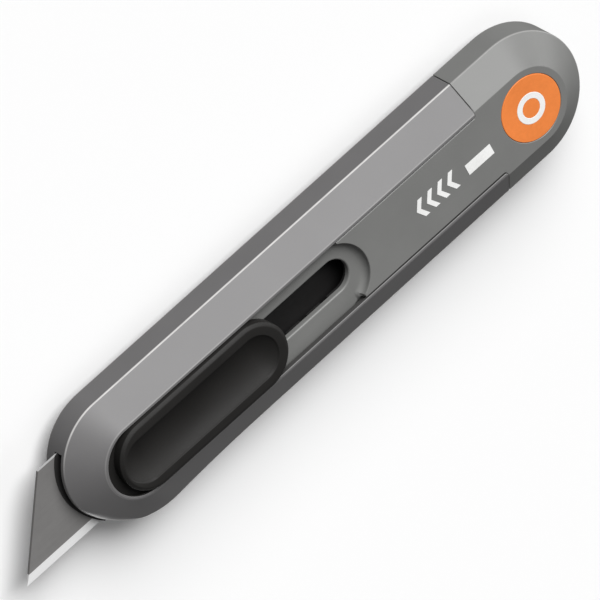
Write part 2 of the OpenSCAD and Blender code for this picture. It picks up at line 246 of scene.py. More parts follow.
def loft(name, rings, around=True, along=False, caps=True):
    """Mesh object over rings of equal length; around closes each ring, along joins the
    last ring to the first, and caps closes the two ends."""
    shape = bmesh.new()
    rows = [[shape.verts.new(p) for p in ring] for ring in rings]
    count = len(rows[0])
    pairs = list(zip(rows, rows[1:])) + ([(rows[-1], rows[0])] if along else [])
    for low, high in pairs:
        for i in range(count if around else count - 1):
            j = (i + 1) % count
            shape.faces.new((low[i], low[j], high[j], high[i]))
    if caps and not along:
        shape.faces.new(list(reversed(rows[0])))
        shape.faces.new(rows[-1])
    bmesh.ops.remove_doubles(shape, verts=shape.verts, dist=1e-7)
    bmesh.ops.recalc_face_normals(shape, faces=shape.faces)
    mesh = bpy.data.meshes.new(name)
    shape.to_mesh(mesh)
    shape.free()
    piece = bpy.data.objects.new(name, mesh)
    bpy.context.collection.objects.link(piece)
    return piece


def evaluated(piece):
    """Gives a piece its modified mesh and drops its modifiers."""
    graph = bpy.context.evaluated_depsgraph_get()
    mesh = bpy.data.meshes.new_from_object(piece.evaluated_get(graph))
    old = piece.data
    piece.modifiers.clear()
    piece.data = mesh
    bpy.data.meshes.remove(old)
    mesh.name = piece.name


def cut(piece, *cutters, operation="DIFFERENCE"):
    """Cuts closed shapes out of a piece, or joins them to it."""
    for cutter in cutters:
        step = piece.modifiers.new(cutter.name, "BOOLEAN")
        step.operation, step.solver, step.object = operation, "EXACT", cutter
        cutter.hide_render = True
    evaluated(piece)
    for cutter in cutters:
        bpy.data.objects.remove(cutter)


def smooth(piece, angle=38):
    """Smooth faces, sharp edges above an angle, and flats that stay flat."""
    piece.data.shade_smooth()
    piece.data.set_sharp_from_angle(angle=radians(angle))
    weigh = piece.modifiers.new("flats", "WEIGHTED_NORMAL")
    weigh.keep_sharp, weigh.weight = True, 60


def stadium(x0, x1, radius, z, steps=24):
    """Ring with two round ends, in part coordinates; z is above the mid plane."""
    points = arc(x0, 0, radius, pi / 2, 3 * pi / 2, steps)
    points += arc(x1, 0, radius, -pi / 2, pi / 2, steps)
    return [Vector((p.x, p.y, MID_Z + z)) for p in points]


def revolve(name, x, y, profile, steps):
    """Solid turned about an upright axis; profile points are (radius, z above mid plane)."""
    rings = [[Vector((x + r * cos(a), y + r * sin(a), MID_Z + z))
              for a in spread(0, 2 * pi, steps)[:-1]] for r, z in profile]
    return loft(name, rings)


# ---------------------------------------------------------------- the body's form

def nose_arcs(size):
    """Centres of the nose's spine and edge arcs."""
    spine = Vector((size.nose_x, size.nose_r_spine - HALF_W))
    gap = size.nose_r_spine - size.nose_r_edge
    return spine, spine + gap * Vector((cos(size.nose_join), sin(size.nose_join)))


def seam_steps(size):
    """Places along X, from the seam, that a lip's rounded corner needs."""
    return [SEAM_X + size.corner_r * (1 - cos(a)) for a in spread(0, pi / 2, 6)]


def front_stations(size):
    """Pairs of rim and lip points from the seam on the spine, round the nose, to the seam
    on the edge side."""
    spine, edge = nose_arcs(size)
    edge_w = HALF_W + (size.waist_w - HALF_W) * SEAM_X / size.waist_x
    pairs = []
    for x in seam_steps(size):
        pairs.append(((x, -HALF_W), (x, -size.window_w)))
    start = SEAM_X + size.corner_r
    for t in spread(0, 1, 12)[1:-1]:
        pairs.append(((start + t * (size.nose_x - start), -HALF_W),
                      (start + t * (size.window_x - start), -size.window_w)))
    rim = arc(*spine, size.nose_r_spine, -pi / 2, size.nose_join, 36)
    lip = arc(size.window_x, 0, size.window_w, -pi / 2, size.nose_join, 36)
    pairs += zip(rim, lip)
    last = pi / 2 + size.waist_slope
    rim = arc(*edge, size.nose_r_edge, size.nose_join, last, 28)[1:]
    lip = arc(size.window_x, 0, size.window_w, size.nose_join, pi / 2, 28)[1:]
    pairs += zip(rim, lip)
    top = rim[-1]
    waist = Vector((size.waist_x, size.waist_w))
    far = Vector((2 * size.waist_x - top.x,
                  size.waist_w - (size.waist_w - HALF_W) * WAIST_SETTLE))
    for t in spread(0, 1, 10)[1:]:
        bend = top.lerp(waist, t).lerp(waist.lerp(far, t), t)
        pairs.append((bend, (size.window_x - (top.x - bend.x), size.window_w)))
    x0, y0 = far
    lip_x0 = size.window_x - (top.x - x0)
    for t in spread(0, 1, 8)[1:-1]:
        pairs.append(((x0 + t * (start - x0), y0 + t * (edge_w - y0)),
                      (lip_x0 + t * (start - lip_x0), size.window_w)))
    for x in reversed(seam_steps(size)):
        pairs.append(((x, edge_w), (x, size.window_w)))
    return [(Vector(rim), Vector(lip)) for rim, lip in pairs]


def rear_stations(size):
    """Pairs of rim and lip points from the seam on the edge side, round the rear, to the
    seam on the spine."""
    end = SEAM_X - size.seam_gap
    edge_w = HALF_W + (size.waist_w - HALF_W) * end / size.waist_x
    places = [0, size.seam_break / end] + spread(0, 1, 4)[1:]
    pairs = []
    for t in places[:-1]:
        x = end + t * (REAR_X - end)
        pairs.append(((x, edge_w + t * (HALF_W - edge_w)), (x, size.window_w)))
    rim = arc(REAR_X, 0, HALF_W, pi / 2, 3 * pi / 2, 56)
    lip = arc(REAR_X, 0, size.window_w, pi / 2, 3 * pi / 2, 56)
    pairs += zip(rim, lip)
    for t in reversed(places[:-1]):
        x = end + t * (REAR_X - end)
        pairs.append(((x, -HALF_W), (x, -size.window_w)))
    return [(Vector(rim), Vector(lip)) for rim, lip in pairs]


def corner_in(size, x):
    """How far a lip's rounded corner at the seam has drawn back at x."""
    r = size.corner_r
    ahead = r - (x - SEAM_X)
    return r - sqrt(max(r * r - ahead * ahead, 0)) if ahead > 0 else 0


def land_in(size, x):
    """Inner edge of a lip's flat land at x; the land dies out at the rounded corner."""
    drawn = corner_in(size, x)
    return drawn - size.land_w * (1 - drawn / size.corner_r)


def section(rim, lip, corners, steps=5, side=1):
    """Ring in space from a section's corners (out from the lip, height, radius)."""
    out = (rim - lip).normalized()
    return [Vector((*(lip + out * p.x), MID_Z + side * p.y)) for p in rounded(corners, steps)]


def broken(size, gap):
    """How far a surface is drawn in at a gap's distance from a seam's edge."""
    return max(size.seam_break - gap, 0)


def rim_radius(size, rim, lip):
    """Radius along the rim: small, and growing to the nose's foot."""
    out = (rim - lip).normalized()
    facing = out.dot(Vector((cos(NOSE_FOOT), sin(NOSE_FOOT))))
    share = max((facing - NOSE_FOOT_SPREAD) / (1 - NOSE_FOOT_SPREAD), 0)
    if rim.x < size.window_x:
        share = 0
    return size.rim_round + (size.foot_round - size.rim_round) * share * share * (3 - 2 * share)


def sleeve_section(size, rim, lip):
    """Section of the sleeve: the near lip's land, the chamfer and the rim, the same on the
    far side, and the inner face."""
    depth = (rim - lip).length
    slope = (HALF_T - RIM) / depth
    tilt = sqrt(1 + slope * slope)
    start, edge = corner_in(size, rim.x), land_in(size, rim.x)
    drawn = broken(size, rim.x - SEAM_X)
    knee = max(edge + LIP_KNEE, 0)
    top = HALF_T - slope * max(edge, 0) - drawn * tilt
    wall = depth - size.sleeve_t
    down = size.sleeve_t * tilt
    turn = HALF_T - slope * wall - down
    near = [(start, HALF_T - slope * start - down, FILLET), (start, top - size.land_t, 0),
            (edge, top - size.land_t, 0), (edge, top, LAND_FILLET),
            (knee, HALF_T - slope * knee - drawn * tilt, size.lip_round),
            (depth - drawn, RIM, rim_radius(size, rim, lip))]
    inner = [(wall, turn, INNER_FILLET)]
    far = [(x, -z, r) for x, z, r in reversed(near)]
    return near + far + [(x, -z, r) for x, z, r in inner] + inner


def shell_section(size, rim, lip, flat, foot, capped):
    """Section of a half shell: from the side face over the chamfer and the wall to the
    cavity. capped is true behind the seam, where the shell is the outer surface."""
    depth = (rim - lip).length
    slope = (HALF_T - RIM) / depth
    cavity = size.cavity_w - size.window_w
    knee = foot + FAR_KNEE if foot > 0 else CAVITY_KNEE
    inside = [(cavity, knee, 0), (CEILING_EDGE, CEILING, 0), (ANCHOR, CEILING, 0)]
    if capped:
        drawn = broken(size, SEAM_X - size.seam_gap - rim.x)
        depth -= drawn
        edge = (HALF_T - flat) / slope
        turn = [(ANCHOR, flat, 0), (edge, flat, INNER_FILLET)]
        turn += [(edge + fade, flat - fade * slope - drawn, 0)
                 for fade in (SEAM_FADE, 2 * SEAM_FADE)]
        if foot > 0:
            outer = depth - (foot - RIM) / slope
            wall = [(outer, foot, FILLET)]
        else:
            wall = [(depth, RIM, size.rim_round), (depth, foot, FILLET)]
    else:
        under = size.sleeve_t + UNDER_SLEEVE
        start = land_in(size, rim.x) - (size.lip_gap if rim.y < 0 else size.edge_gap)
        down = under * sqrt(1 + slope * slope)
        edge = min(start, (HALF_T - flat) / slope)
        side = min(flat - SIDE_DROP, HALF_T - slope * start - HAIR)
        turn = [(ANCHOR, flat, 0), (edge - SIDE_FILLET, flat, FILLET), (start, side, 0),
                (start, HALF_T - slope * max(start, 0) - down, 0)]
        if foot > 0:
            wall = [((HALF_T - down - foot) / slope, foot, FILLET)]
        else:
            x = depth - under
            wall = [(x, HALF_T - slope * x - down, size.rim_round), (x, foot, FILLET)]
    return turn + wall + [(cavity, foot, FILLET)] + inside


def half_shell(name, size, flat, foot, side=1):
    """Closed half shell of the body; side is 1 for the near half and -1 for the far half."""
    rings = [section(rim, lip, shell_section(size, rim, lip, flat, foot, False), 4, side)
             for rim, lip in front_stations(size)]
    rings += [section(rim, lip, shell_section(size, rim, lip, flat, foot, True), 4, side)
              for rim, lip in rear_stations(size)]
    return loft(name, list(zip(*rings)))


def box_cutter(name, low, high):
    """Plain box for cutting, from its low and high corners."""
    ring = [(low.x, low.y), (high.x, low.y), (high.x, high.y), (low.x, high.y)]
    return loft(name, [[Vector((*p, z)) for p in ring] for z in (low.z, high.z)])


def mouth_cutter(size):
    """The blade's mouth through the nose."""
    beside, behind, ahead = 0.4 * MM, 4 * MM, 5 * MM
    low = Vector((size.window_x + behind, BLADE_LO.y - beside, MID_Z - size.mouth_far))
    high = Vector((SLEEVE_HI.x + ahead, BLADE_HI.y + beside, MID_Z + size.mouth_near))
    return box_cutter("mouth_cutter", low, high)


def recess_plan(size, grow):
    """Plan of the slider's recess, grown outwards: round at the rear, then open to the
    lips from its step to the window's round front."""
    radius = size.recess_r + grow
    step = size.recess_step - grow
    angle = pi - atan2(sqrt(radius ** 2 - (size.recess_x - step) ** 2), size.recess_x - step)
    width = size.window_w + size.recess_side + max(grow, 0)
    points = [Vector((step, width))]
    points += arc(size.recess_x, 0, radius, angle, 2 * pi - angle, 40)
    points.append(Vector((step, -width)))
    points += arc(size.window_x, 0, width, -pi / 2, pi / 2, 40)
    return points


def recess_cutter(size):
    """The slider's recess: rounded over at the top and filleted at its foot."""
    top_r = 0.22 * MM
    levels = [(top_r, FLAT + STAND_OUT), (top_r, FLAT + HAIR / 2)]
    levels += [(top_r * (1 - sin(a)), FLAT - top_r * (1 - cos(a)))
               for a in spread(0, pi / 2, 4)[1:]]
    levels += [(-size.foot_r * (1 - cos(a)), size.floor_z + size.foot_r * (1 - sin(a)))
               for a in spread(0, pi / 2, 7)]
    rings = [[Vector((*p, MID_Z + z)) for p in recess_plan(size, grow)] for grow, z in levels]
    return loft("recess_cutter", rings)


def slot_cutter(size):
    """The slot for the button's stem, rounded over at the recess floor."""
    round_r = 0.4 * MM
    levels = [(size.slot_w + round_r, size.floor_z + STAND_OUT / 2)]
    levels += [(size.slot_w + round_r * (1 - sin(a)), size.floor_z - round_r * (1 - cos(a)))
               for a in spread(0, pi / 2, 5)]
    levels.append((size.slot_w, 0))
    rings = [stadium(size.slot_rear, size.slot_front, r, z, 32) for r, z in levels]
    return loft("slot_cutter", rings)


# ---------------------------------------------------------------- finishes

def new_group(name, inputs, outputs):
    """Empty shader group; inputs are (name, kind, default) and outputs (name, kind)."""
    tree = bpy.data.node_groups.new(name, "ShaderNodeTree")
    for label, kind, default in inputs:
        socket = tree.interface.new_socket(name=label, in_out="INPUT", socket_type=kind)
        socket.default_value = default
    for label, kind in outputs:
        tree.interface.new_socket(name=label, in_out="OUTPUT", socket_type=kind)
    return tree, tree.nodes.new("NodeGroupInput"), tree.nodes.new("NodeGroupOutput")


def node(tree, kind, links=(), **values):
    """Adds a node, sets its values and links (input, source socket) pairs."""
    made = tree.nodes.new(kind)
    for key, value in values.items():
        setattr(made, key, value)
    for key, value in links:
        if isinstance(value, bpy.types.NodeSocket):
            tree.links.new(value, made.inputs[key])
        else:
            made.inputs[key].default_value = value
    return made


def calc(tree, operation, a, b, clamp=False):
    """Math node; returns its value."""
    return node(tree, "ShaderNodeMath", [(0, a), (1, b)], operation=operation,
                use_clamp=clamp).outputs[0]


def blend_colours(tree, amount, a, b, kind="MIX"):
    """Mix node for colours; returns its result."""
    mixed = node(tree, "ShaderNodeMix", data_type="RGBA", blend_type=kind)
    for key, value in ((0, amount), (6, a), (7, b)):
        if isinstance(value, bpy.types.NodeSocket):
            tree.links.new(value, mixed.inputs[key])
        else:
            mixed.inputs[key].default_value = value
    return mixed.outputs[2]


def ramp(tree, value, low, high, to_low=0.0, to_high=1.0):
    """Carries a value from one range to another, clamped at both ends."""
    return node(tree, "ShaderNodeMapRange",
                [("Value", value), ("From Min", low), ("From Max", high),
                 ("To Min", to_low), ("To Max", to_high)]).outputs[0]


FLOAT, COLOUR = "NodeSocketFloat", "NodeSocketColor"


def grain_group():
    """Fine grain with soft mottling, for paints and mouldings."""
    tree, given, out = new_group(
        "fine_grain",
        [("Colour", COLOUR, (0.5, 0.5, 0.5, 1)), ("Size", FLOAT, 0.0002),
         ("Mottle", FLOAT, 0.05), ("Roughness", FLOAT, 0.5), ("Spread", FLOAT, 0.06)],
        [("Colour", COLOUR), ("Height", FLOAT), ("Roughness", FLOAT)])
    place = node(tree, "ShaderNodeTexCoord").outputs["Object"]
    scale = calc(tree, "DIVIDE", 1.0, given.outputs["Size"])
    fine = node(tree, "ShaderNodeTexNoise",
                [("Vector", place), ("Scale", scale), ("Detail", 3.0), ("Roughness", 0.55)])
    soft = node(tree, "ShaderNodeTexNoise",
                [("Vector", place), ("Scale", 85.0), ("Detail", 4.0), ("Roughness", 0.6)])
    broad = ramp(tree, soft.outputs[0], 0.3, 0.7, -1.0, 1.0)
    small = ramp(tree, fine.outputs[0], 0.25, 0.75, -1.0, 1.0)
    sway = calc(tree, "ADD", broad, calc(tree, "MULTIPLY", small, 0.6))
    level = calc(tree, "MULTIPLY_ADD", sway, given.outputs["Mottle"])
    level.node.inputs[2].default_value = 1.0
    grey = node(tree, "ShaderNodeCombineColor",
                [(0, level), (1, level), (2, level)]).outputs[0]
    tinted = blend_colours(tree, 1.0, given.outputs["Colour"], grey, "MULTIPLY")
    rough = calc(tree, "MULTIPLY_ADD", sway, given.outputs["Spread"])
    tree.links.new(given.outputs["Roughness"], rough.node.inputs[2])
    tree.links.new(tinted, out.inputs["Colour"])
    tree.links.new(fine.outputs[0], out.inputs["Height"])
    tree.links.new(rough, out.inputs["Roughness"])
    return tree


def wear_group():
    """Mask of rubbed edges, broken up by noise."""
    tree, given, out = new_group(
        "edge_wear", [("Radius", FLOAT, 0.0003), ("Amount", FLOAT, 0.5)], [("Mask", FLOAT)])
    place = node(tree, "ShaderNodeTexCoord").outputs["Object"]
    soft = node(tree, "ShaderNodeBevel", [("Radius", given.outputs["Radius"])], samples=6)
    true = node(tree, "ShaderNodeNewGeometry").outputs["Normal"]
    facing = node(tree, "ShaderNodeVectorMath", [(0, soft.outputs[0]), (1, true)],
                  operation="DOT_PRODUCT").outputs["Value"]
    edge = ramp(tree, facing, 0.995, 0.93)
    patch = node(tree, "ShaderNodeTexNoise",
                 [("Vector", place), ("Scale", 420.0), ("Detail", 5.0)]).outputs[0]
    patch = ramp(tree, patch, 0.38, 0.62, 0.35, 1.0)
    mask = calc(tree, "MULTIPLY", calc(tree, "MULTIPLY", edge, patch), given.outputs["Amount"],
                clamp=True)
    tree.links.new(mask, out.inputs["Mask"])
    return tree


def highlight_band_group():
    """Mask of a painted highlight: a line along the body at a height from the mid plane,
    broken up by noise; it dies out towards the nose, in front of a place along X."""
    tree, given, out = new_group(
        "painted_highlight_band", [("Height", FLOAT, 0.003), ("Width", FLOAT, 0.0002),
                        ("Amount", FLOAT, 0.5), ("Front", FLOAT, 0.11)], [("Mask", FLOAT)])
    place = node(tree, "ShaderNodeTexCoord").outputs["Object"]
    parts = node(tree, "ShaderNodeSeparateXYZ", [(0, place)]).outputs
    height = calc(tree, "ABSOLUTE", calc(tree, "SUBTRACT", parts["Z"], MID_Z), 0.0)
    ahead = calc(tree, "SUBTRACT", parts["X"], given.outputs["Front"])
    off = calc(tree, "SUBTRACT", height, given.outputs["Height"])
    share = calc(tree, "DIVIDE", calc(tree, "ABSOLUTE", off, 0.0), given.outputs["Width"])
    line = ramp(tree, share, 1.0, 0.5)
    patch = node(tree, "ShaderNodeTexNoise",
                 [("Vector", place), ("Scale", 300.0), ("Detail", 4.0)]).outputs[0]
    line = calc(tree, "MULTIPLY", line, ramp(tree, patch, 0.3, 0.6, 0.75, 1.0))
    line = calc(tree, "MULTIPLY", line, ramp(tree, ahead, 0.0, 0.006, 1.0, 0.1))
    mask = calc(tree, "MULTIPLY", line, given.outputs["Amount"], clamp=True)
    tree.links.new(mask, out.inputs["Mask"])
    return tree


def window_shade_group():
    """Mask of the walls inside the sleeve's window, under its lips, where painted shade goes."""
    tree, given, out = new_group(
        "window_wall_shade", [("Centre", FLOAT, 0.1), ("Width", FLOAT, 0.008),
                         ("Height", FLOAT, 0.007)], [("Mask", FLOAT)])
    place = node(tree, "ShaderNodeTexCoord").outputs["Object"]
    parts = node(tree, "ShaderNodeSeparateXYZ", [(0, place)]).outputs
    ahead = calc(tree, "MAXIMUM", calc(tree, "SUBTRACT", parts["X"], given.outputs["Centre"]), 0.0)
    squares = calc(tree, "ADD", calc(tree, "MULTIPLY", ahead, ahead),
                   calc(tree, "MULTIPLY", parts["Y"], parts["Y"]))
    radius = calc(tree, "SQRT", squares, 0.0)
    height = calc(tree, "ABSOLUTE", calc(tree, "SUBTRACT", parts["Z"], MID_Z), 0.0)
    near = calc(tree, "LESS_THAN", radius, given.outputs["Width"])
    low = calc(tree, "LESS_THAN", height, given.outputs["Height"])
    tree.links.new(calc(tree, "MULTIPLY", near, low), out.inputs["Mask"])
    return tree


def brushed_group():
    """Lines left by grinding or brushing along X, or across it."""
    tree, given, out = new_group(
        "brushed", [("Along", FLOAT, 60.0), ("Across", FLOAT, 5000.0), ("Turn", FLOAT, 0.0)],
        [("Height", FLOAT), ("Streak", FLOAT)])
    place = node(tree, "ShaderNodeTexCoord").outputs["Object"]
    turned = node(tree, "ShaderNodeVectorRotate",
                  [("Vector", place), ("Angle", given.outputs["Turn"])],
                  rotation_type="Z_AXIS").outputs[0]
    scale = node(tree, "ShaderNodeCombineXYZ",
                 [(0, given.outputs["Along"]), (1, given.outputs["Across"]),
                  (2, given.outputs["Across"])]).outputs[0]
    stretched = node(tree, "ShaderNodeVectorMath", [(0, turned), (1, scale)],
                     operation="MULTIPLY").outputs[0]
    lines = node(tree, "ShaderNodeTexNoise",
                 [("Vector", stretched), ("Scale", 1.0), ("Detail", 4.0)]).outputs[0]
    tree.links.new(lines, out.inputs["Height"])
    tree.links.new(ramp(tree, lines, 0.3, 0.7), out.inputs["Streak"])
    return tree


GROUPS = {}


def shared(name):
    """The shader group of a name, built when it is first wanted."""
    makers = {"fine_grain": grain_group, "edge_wear": wear_group, "brushed": brushed_group,
              "painted_highlight_band": highlight_band_group, "window_wall_shade": window_shade_group}
    if name not in GROUPS:
        GROUPS[name] = makers[name]()
    return GROUPS[name]


def place_group(tree, name, **values):
    """Places a shared group in a material with its own values; returns its outputs."""
    made = tree.nodes.new("ShaderNodeGroup")
    made.node_tree = shared(name)
    for key, value in values.items():
        socket = made.inputs[key.replace("_", " ")]
        if isinstance(value, bpy.types.NodeSocket):
            tree.links.new(value, socket)
        else:
            socket.default_value = value
    return made.outputs


def new_material(name):
    """Empty material; returns it with its node tree and its shader."""
    material = bpy.data.materials.new(name)
    material.use_nodes = True
    tree = material.node_tree
    return material, tree, tree.nodes["Principled BSDF"]


def bump(tree, shader, height, distance, strength):
    """Fine relief on a shader's surface."""
    made = node(tree, "ShaderNodeBump",
                [("Height", height), ("Distance", distance), ("Strength", strength)])
    tree.links.new(made.outputs[0], shader.inputs["Normal"])


def painted(name, colour, rim, lip=0.0, window=False):
    """Satin paint with a fine grain and rubbed pale edges, with a painted highlight along the
    rims and the sleeve's lips; the walls inside the sleeve's window carry painted shade."""
    size = bpy.context.scene.knife_body
    material, tree, shader = new_material(name)
    skin = place_group(tree, "fine_grain", Colour=(*colour, 1), Size=0.00022, Mottle=0.035,
                       Roughness=0.45, Spread=0.03)
    worn = place_group(tree, "edge_wear", Radius=0.00028, Amount=0.25)["Mask"]
    shown = blend_colours(tree, worn, skin["Colour"], (*(1.5 * c for c in colour), 1))
    # painted highlight: pale lines along the rims and along the tops of the sleeve's lips, fading
    # out towards the nose
    for height, width, amount in ((RIM - 0.05 * MM, 0.2 * MM, rim),
                                  (HALF_T - 0.1 * MM, 0.08 * MM, lip)):
        if amount:
            mask = place_group(tree, "painted_highlight_band", Height=height, Width=width, Amount=amount,
                               Front=size.nose_x + 7 * MM)
            shown = blend_colours(tree, mask["Mask"], shown, (0.56, 0.55, 0.54, 1))
    # painted shade: the walls inside the sleeve's window, under its lips, are painted near black
    if window:
        inner = place_group(tree, "window_wall_shade", Centre=size.window_x,
                            Width=size.window_w + 0.1 * MM, Height=HALF_T - 0.15 * MM)["Mask"]
        shown = blend_colours(tree, inner, shown, (0.045, 0.044, 0.043, 1))
    tree.links.new(shown, shader.inputs["Base Color"])
    tree.links.new(skin["Roughness"], shader.inputs["Roughness"])
    bump(tree, shader, skin["Height"], 0.000012, 0.6)
    return material


def moulded(name, colour, roughness=0.55, grain=0.0003, specular=0.5, depth=0.00002):
    """Moulded plastic or rubber with a fine spark-eroded texture."""
    material, tree, shader = new_material(name)
    skin = place_group(tree, "fine_grain", Colour=(*colour, 1), Size=grain, Mottle=0.07,
                       Roughness=roughness, Spread=0.05)
    mask = place_group(tree, "edge_wear", Radius=0.00025, Amount=0.3)["Mask"]
    pale = tuple(min(c * 1.8, 1) for c in colour) + (1,)
    tree.links.new(blend_colours(tree, mask, skin["Colour"], pale), shader.inputs["Base Color"])
    tree.links.new(skin["Roughness"], shader.inputs["Roughness"])
    shader.inputs["Specular IOR Level"].default_value = specular
    bump(tree, shader, skin["Height"], depth, 0.8)
    return material


def steel(name, colour, roughness, turn=0.0, metallic=1.0):
    """Steel with fine lines from rolling or brushing."""
    material, tree, shader = new_material(name)
    lines = place_group(tree, "brushed", Along=60.0, Turn=turn)
    skin = place_group(tree, "fine_grain", Colour=(*colour, 1), Size=0.0009, Mottle=0.06,
                       Roughness=roughness, Spread=0.05)
    mask = place_group(tree, "edge_wear", Radius=0.0001, Amount=0.5)["Mask"]
    streaked = blend_colours(tree, calc(tree, "MULTIPLY", lines["Streak"], 0.18),
                             skin["Colour"], tuple(min(c * 1.6, 1) for c in colour) + (1,))
    pale = tuple(min(c * 1.8, 1) for c in colour) + (1,)
    tree.links.new(blend_colours(tree, mask, streaked, pale), shader.inputs["Base Color"])
    tree.links.new(skin["Roughness"], shader.inputs["Roughness"])
    shader.inputs["Metallic"].default_value = metallic
    bump(tree, shader, lines["Height"], 0.000004, 0.5)
    return material


def blade_finish(name, colour):
    """Satin blade faces, with a honed ground strip along the cutting edge painted near white as
    its sheen, and a painted highlight on the spine's edge.
    """
    material, tree, shader = new_material(name)
    place = node(tree, "ShaderNodeTexCoord").outputs["Object"]
    y = node(tree, "ShaderNodeSeparateXYZ", [(0, place)]).outputs["Y"]
    ground_from = BLADE_HI.y - GROUND_W
    ground = ramp(tree, y, ground_from - HAIR, ground_from + HAIR)
    rolled = place_group(tree, "brushed", Along=50.0, Across=4500.0)
    honed = place_group(tree, "brushed", Along=40.0, Across=9000.0, Turn=radians(84))
    skin = place_group(tree, "fine_grain", Colour=(*colour, 1), Size=0.0012, Mottle=0.04,
                       Roughness=0.42, Spread=0.04)
    face = blend_colours(tree, calc(tree, "MULTIPLY", rolled["Streak"], 0.12), skin["Colour"],
                         tuple(c * 1.5 for c in colour) + (1,))
    # painted reflection: the honed ground strip is painted near white, streaked by its honing
    # lines
    honed_sheen = blend_colours(tree, calc(tree, "MULTIPLY", honed["Streak"], 0.25),
                           (1.0, 1.0, 1.0, 1), (0.82, 0.83, 0.83, 1))
    # painted highlight: faces turned towards -Y, the blade's spine edge, are painted near white
    facing = node(tree, "ShaderNodeNewGeometry").outputs["Normal"]
    spine = node(tree, "ShaderNodeSeparateXYZ", [(0, facing)]).outputs["Y"]
    spine = ramp(tree, spine, -0.7, -0.9)
    shown = blend_colours(tree, ground, face, honed_sheen)
    tree.links.new(blend_colours(tree, spine, shown, (0.9, 0.9, 0.9, 1)),
                   shader.inputs["Base Color"])
    tree.links.new(ramp(tree, ground, 0.0, 1.0, 0.42, 0.3), shader.inputs["Roughness"])
    tree.links.new(ramp(tree, ground, 0.0, 1.0, 0.6, 0.1), shader.inputs["Metallic"])
    height = calc(tree, "ADD", calc(tree, "MULTIPLY", rolled["Height"], 0.5),
                  calc(tree, "MULTIPLY", honed["Height"], ground))
    bump(tree, shader, height, 0.000005, 0.5)
    return material


FINISHES = {}


def finish(slot):
    """The material for one of the record's slots."""
    colours = bpy.context.scene.knife_colours
    makers = {
        # the numbers after a paint colour are the strengths of its painted highlights along the
        # rims and the lips; True paints shade on the walls inside the sleeve's window
        "body_grey": lambda: painted(slot, colours.body, 0.25),
        "sleeve_grey": lambda: painted(slot, colours.sleeve, 0.95, 0.16, True),
        "badge_orange": lambda: moulded(slot, colours.badge, 0.45, 0.0006, 0.4, 0.00001),
        "print_white": lambda: moulded(slot, colours.white, 0.5, 0.0004, 0.4, 0.00001),
        "pad_black": lambda: moulded(slot, colours.pad, 0.62, 0.00026, 0.3, 0.000025),
        "button_black": lambda: moulded(slot, colours.black, 0.5),
        "blade_steel": lambda: blade_finish(slot, colours.steel),
        # the plates' near black stands partly for painted shade deep in the slot
        "plate_steel": lambda: steel(slot, colours.dark_steel_and_slot_shade, 0.5, metallic=0.6),
        "spring_steel": lambda: steel(slot, colours.spring, 0.3, turn=radians(90)),
        "screw_steel": lambda: steel(slot, colours.spring, 0.34),
        "magnet_nickel": lambda: steel(slot, colours.spring, 0.25),
        "shoe_nylon": lambda: moulded(slot, colours.nylon, 0.45),
    }
    if slot not in FINISHES:
        FINISHES[slot] = makers[slot]()
    return FINISHES[slot]


def settle(piece, slot, body, *nodes):
    """Finishes a made piece: the material of its slot, its body, and the nodes it replaces, which
    are hidden.
    """
    piece.data.materials.clear()
    piece.data.materials.append(finish(slot))
    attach(piece, body)
    if nodes:
        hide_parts(*nodes)


def dress(node_name, slot, bevel=0.0):
    """Gives a node of the frame its finish and, if wanted, broken edges."""
    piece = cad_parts[node_name]
    for place in piece.material_slots:
        place.material = finish(slot)
    if bevel:
        edge = piece.modifiers.new("broken_edges", "BEVEL")
        edge.width, edge.segments = bevel, 2
        edge.limit_method, edge.angle_limit = "ANGLE", radians(40)
        edge.harden_normals, edge.use_clamp_overlap = True, True


# ---------------------------------------------------------------- operators

class KNIFE_OT_sleeve(bpy.types.Operator):
    """Builds the painted sleeve that wraps the body from the seam round the nose"""
    bl_idname = "knife.sleeve"
    bl_label = "Nose Sleeve"

    def execute(self, context):
        size = context.scene.knife_body
        rings = [section(rim, lip, sleeve_section(size, rim, lip))
                 for rim, lip in front_stations(size)]
        sleeve = loft("sleeve", rings)
        cut(sleeve, mouth_cutter(size), *sleeve_screw_cutters())
        smooth(sleeve)
        settle(sleeve, "sleeve_grey", "handle", "nose_sleeve")
        return {"FINISHED"}


def sleeve_screw_cutters():
    """Counterbores for the sleeve's screws, along the screws' own axes."""
    size = bpy.context.scene.knife_body
    slope = atan2(HALF_T - RIM, HALF_W - size.window_w)
    shank_r, head_r, lead_r, head_z = 1.15 * MM, 1.95 * MM, 2.1 * MM, 0.95 * MM
    profile = [(shank_r, 4 * MM), (shank_r, head_z), (head_r, head_z), (head_r, 0.12 * MM),
               (lead_r, -HAIR), (lead_r, -1.5 * MM)]
    cutters = []
    for side in (-1, 1):
        place = Vector((SLEEVE_SCREW_X, side * SLEEVE_SCREW_Y, 0))
        place.z = MID_Z - (RIM + (HALF_W - abs(place.y)) * tan(slope))
        turn = Matrix.Rotation(-side * slope, 3, "X")
        rings = [[place + turn @ Vector((r * cos(a), r * sin(a), z))
                  for a in spread(0, 2 * pi, 48)[:-1]] for r, z in profile]
        cutters.append(loft("screw_cutter", rings))
    return cutters


